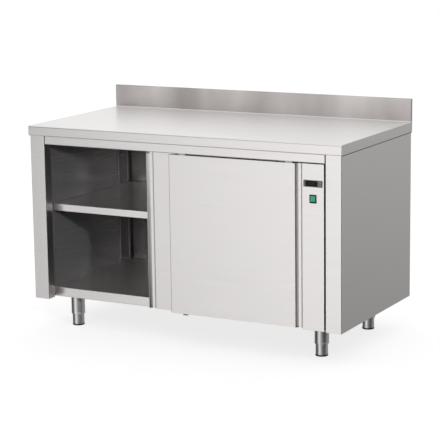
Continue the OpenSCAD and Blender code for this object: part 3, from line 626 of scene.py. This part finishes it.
# Rivets along the upper and lower edges of the outer back
RIVETS = 8
RIVET_END = 40
RIVET_EDGE = 14
RIVET = pan_head(2.6, 1.2)
low, high = low_high("back_panel")
rivets = []
for i in range(RIVETS):
    x = low.x + RIVET_END + i * (high.x - low.x - 2 * RIVET_END) / (RIVETS - 1)
    for z in (low.z + RIVET_EDGE, high.z - RIVET_EDGE):
        rivets.append((RIVET, (x, high.y, z), (0, 1, 0), 16))
fittings("back_rivets", "cabinet", "zinc_steel", parts=rivets)

# Bearing races in the rollers
for side in ("left", "right"):
    for k in "ab":
        low, high = low_high(f"{side}_door_roller_{k}")
        mid = (low + high) / 2
        half = (high.y - low.y) / 2
        rim = [(3.2, half + 0.12), (3.6, half + 0.15), (5.6, half + 0.15), (5.9, half + 0.05)]
        race = [(r, -y) for r, y in rim] + rim[::-1] + [(3.2, -half - 0.12)]
        parts = [(race, mid, (0, 1, 0), 40)]
        fittings(f"{side}_bearing_{k}", f"{side}_roller_{k}", "zinc_steel", parts=parts)

# On each leg, a collar under its plate, a bead at the tube's lower end and a ring round the foot
tube_corners = [v.co / MM for v in nodes["leg_tubes"].data.vertices if v.co.z < 0.1]
tube_low = min(v.z for v in tube_corners)
tube_r = max((v - LEGS["front_left"]).xy.length for v in tube_corners if v.x < 0 and v.y < 0)
low, high = low_high("front_left_foot")
foot_r = (high.x - low.x) / 2
BEAD = [(tube_r + r, tube_low + z) for r, z in (
    (-0.9, -0.4), (0.4, -0.2), (0.7, 1.0), (0.7, 3.0), (0.4, 4.4), (-0.05, 5.0), (-0.9, 5.0), (-0.9, -0.4))]
COLLAR = [(tube_r + r, PLATE_LOW + z) for r, z in (
    (-0.9, -1.8), (2.1, -1.6), (3.7, -0.8), (4.1, -0.05), (-0.9, -0.05), (-0.9, -1.8))]
FOOT_RING = [(foot_r + r, z) for r, z in (
    (-0.2, 9.5), (0.25, 9.8), (0.25, 11.2), (-0.2, 11.5), (-0.2, 9.5))]
for corner, at in LEGS.items():
    rings = [(BEAD, at, UP, 64), (COLLAR, at, UP, 64)]
    fittings(corner + "_leg_rings", "cabinet", "leg_steel", parts=rings)
    fittings(corner + "_foot_ring", corner + "_foot", "leg_steel", parts=[(FOOT_RING, at, UP, 64)])

# Ribs and rubber sleeve of the cable gland
RIBS = 12
RIB_CIRCLE = 9.6
RIB_START = 4.4
RIB = [(0, 0), (1.0, 0), (1.0, 8.5), (0, 9)]
SLEEVE = [(4.55, -0.8), (6.4, -0.8), (6.9, -0.2), (6.9, 0.8), (4.55, 0.8), (4.55, -0.8)]
low, high = low_high("cable_gland")
gland = (low + high) / 2
ribs = []
for i in range(RIBS):
    a = 2 * math.pi * i / RIBS
    at = (gland.x + RIB_CIRCLE * math.cos(a), gland.y + RIB_CIRCLE * math.sin(a), low.z + RIB_START)
    ribs.append((RIB, at, UP, 10))
fittings("gland_ribs", "cabinet", "black_plastic", parts=ribs)
fittings("gland_sleeve", "cabinet", "black_rubber", parts=[(SLEEVE, (gland.x, gland.y, low.z), UP, 40)])


def plates(name, body, slot, bevel, boxes, look=None):
    """One piece made of rounded boxes between corners in mm."""
    bm = bmesh.new()
    for low, high in boxes:
        rounded_slab(bm, low, high)
    from_bmesh(name, bm, body, slot, bevel, look)


def prism(name, body, slot, bevel, outline, y0, y1):
    """A flat shape drawn in X and Z in mm, from y0 to y1."""
    bm = bmesh.new()
    front = [bm.verts.new(Vector((x, y0, z)) * MM) for x, z in outline]
    back = [bm.verts.new(Vector((x, y1, z)) * MM) for x, z in outline]
    bm.faces.new(front)
    bm.faces.new(back[::-1])
    for i in range(len(outline)):
        j = (i + 1) % len(outline)
        bm.faces.new((front[j], front[i], back[i], back[j]))
    bmesh.ops.recalc_face_normals(bm, faces=bm.faces)
    from_bmesh(name, bm, body, slot, bevel)


# Arrows on the thermostat's two right-hand buttons and a ring on the left one
ARROW_HALF = 2.2
ARROW_FOOT = 1.3
ARROW_TIP = 1.7
# Marks stand out by this, and are sunk by as much
MARK = 0.2
for name, turn in (("up_button", 1), ("down_button", -1)):
    low, high = low_high(name)
    mid = (low + high) / 2
    foot_z = mid.z - ARROW_FOOT * turn
    arrow = [(mid.x - ARROW_HALF, foot_z), (mid.x + ARROW_HALF, foot_z), (mid.x, mid.z + ARROW_TIP * turn)]
    prism(name + "_arrow", name, "window_black", 0.1, arrow, low.y - MARK, low.y + MARK)
RING = [(1.0, 0), (1.0, MARK), (1.4, MARK), (1.4, -MARK), (1.0, -MARK), (1.0, 0)]
low, high = low_high("set_button")
mid = (low + high) / 2
fittings("set_button_ring", "set_button", "window_black", parts=[
    (RING, (mid.x, low.y, mid.z), (0, -1, 0), 32)])

# Unlit digits, laid on the thermostat's window, and two small lamps beside them
DIGIT_PITCH = 9.46
DIGIT_WIDE = 5.4
DIGIT_HIGH = 10.0
STROKE = 1.1
# How far a stroke stops short of its digit's corner, up and down
STROKE_SHORT = STROKE * 0.6
PROUD = 0.06
SUNK = 0.2
LAMP = [(0, 0.25), (0.7, 0.2), (0.9, 0), (0.9, -0.2), (0, -0.2)]
LAMP_EDGE = 4
LAMP_OFFSET = 4
unlit = digit_look()
low, high = low_high("display_window")
mid = (low + high) / 2
front, rear = low.y - PROUD, low.y + SUNK
flat_half = DIGIT_WIDE / 2 - STROKE
upright_half = DIGIT_HIGH / 4 - STROKE_SHORT
strokes = []
for i in (-1, 0, 1):
    x = mid.x + DIGIT_PITCH * i
    for z in (mid.z - DIGIT_HIGH / 2, mid.z, mid.z + DIGIT_HIGH / 2):
        strokes.append(((x - flat_half, front, z - STROKE / 2), (x + flat_half, rear, z + STROKE / 2)))
    for side_x in (x - DIGIT_WIDE / 2, x + DIGIT_WIDE / 2):
        x0, x1 = side_x - STROKE / 2, side_x + STROKE / 2
        for z in (mid.z - DIGIT_HIGH / 4, mid.z + DIGIT_HIGH / 4):
            strokes.append(((x0, front, z - upright_half), (x1, rear, z + upright_half)))
plates("unlit_digits", "cabinet", "window_black", 0.0, strokes, unlit)
fittings("lamps", "cabinet", "window_black", look=unlit, parts=[
    (LAMP, (low.x + LAMP_EDGE, low.y, mid.z + dz), (0, -1, 0), 20) for dz in (-LAMP_OFFSET, LAMP_OFFSET)])

# Dark strips under the overhang of each end of the worktop: painted shadow where the overhang meets the
# side panels
SHADOW_STRIP_HIGH = 2.6
SHADOW_STRIP_BACK = 0.3
SHADOW_STRIP_END = 1
low, high = low_high("worktop")
left_panel, right_panel = low_high("left_side_panel"), low_high("right_side_panel")
painted_shadow_boxes = []
for x0, x1, (panel_low, panel_high) in ((low.x + SHADOW_STRIP_BACK, left_panel[0].x, left_panel),
                                        (right_panel[1].x, high.x - SHADOW_STRIP_BACK, right_panel)):
    painted_shadow_boxes.append(((x0, panel_low.y + SHADOW_STRIP_END, low.z - SHADOW_STRIP_HIGH), (x1, panel_high.y - SHADOW_STRIP_END, low.z)))
plates("worktop_painted_shadow", "cabinet", "black_rubber", 0.3, painted_shadow_boxes)

# Side caps of the thermostat's front
CAP_EDGE = 0.3
CAP_WIDE = 1.3
CAP_PROUD = 0.5
CAP_DEEP = 1
low, high = low_high("thermostat_case")
y0, y1 = low.y - CAP_PROUD, low.y + CAP_DEEP
z0, z1 = low.z + CAP_EDGE, high.z - CAP_EDGE
plates("thermostat_caps", "cabinet", "grey_plastic", 0.5, [
    ((x, y0, z0), (x + CAP_WIDE, y1, z1)) for x in (low.x + CAP_EDGE, high.x - CAP_EDGE - CAP_WIDE)])
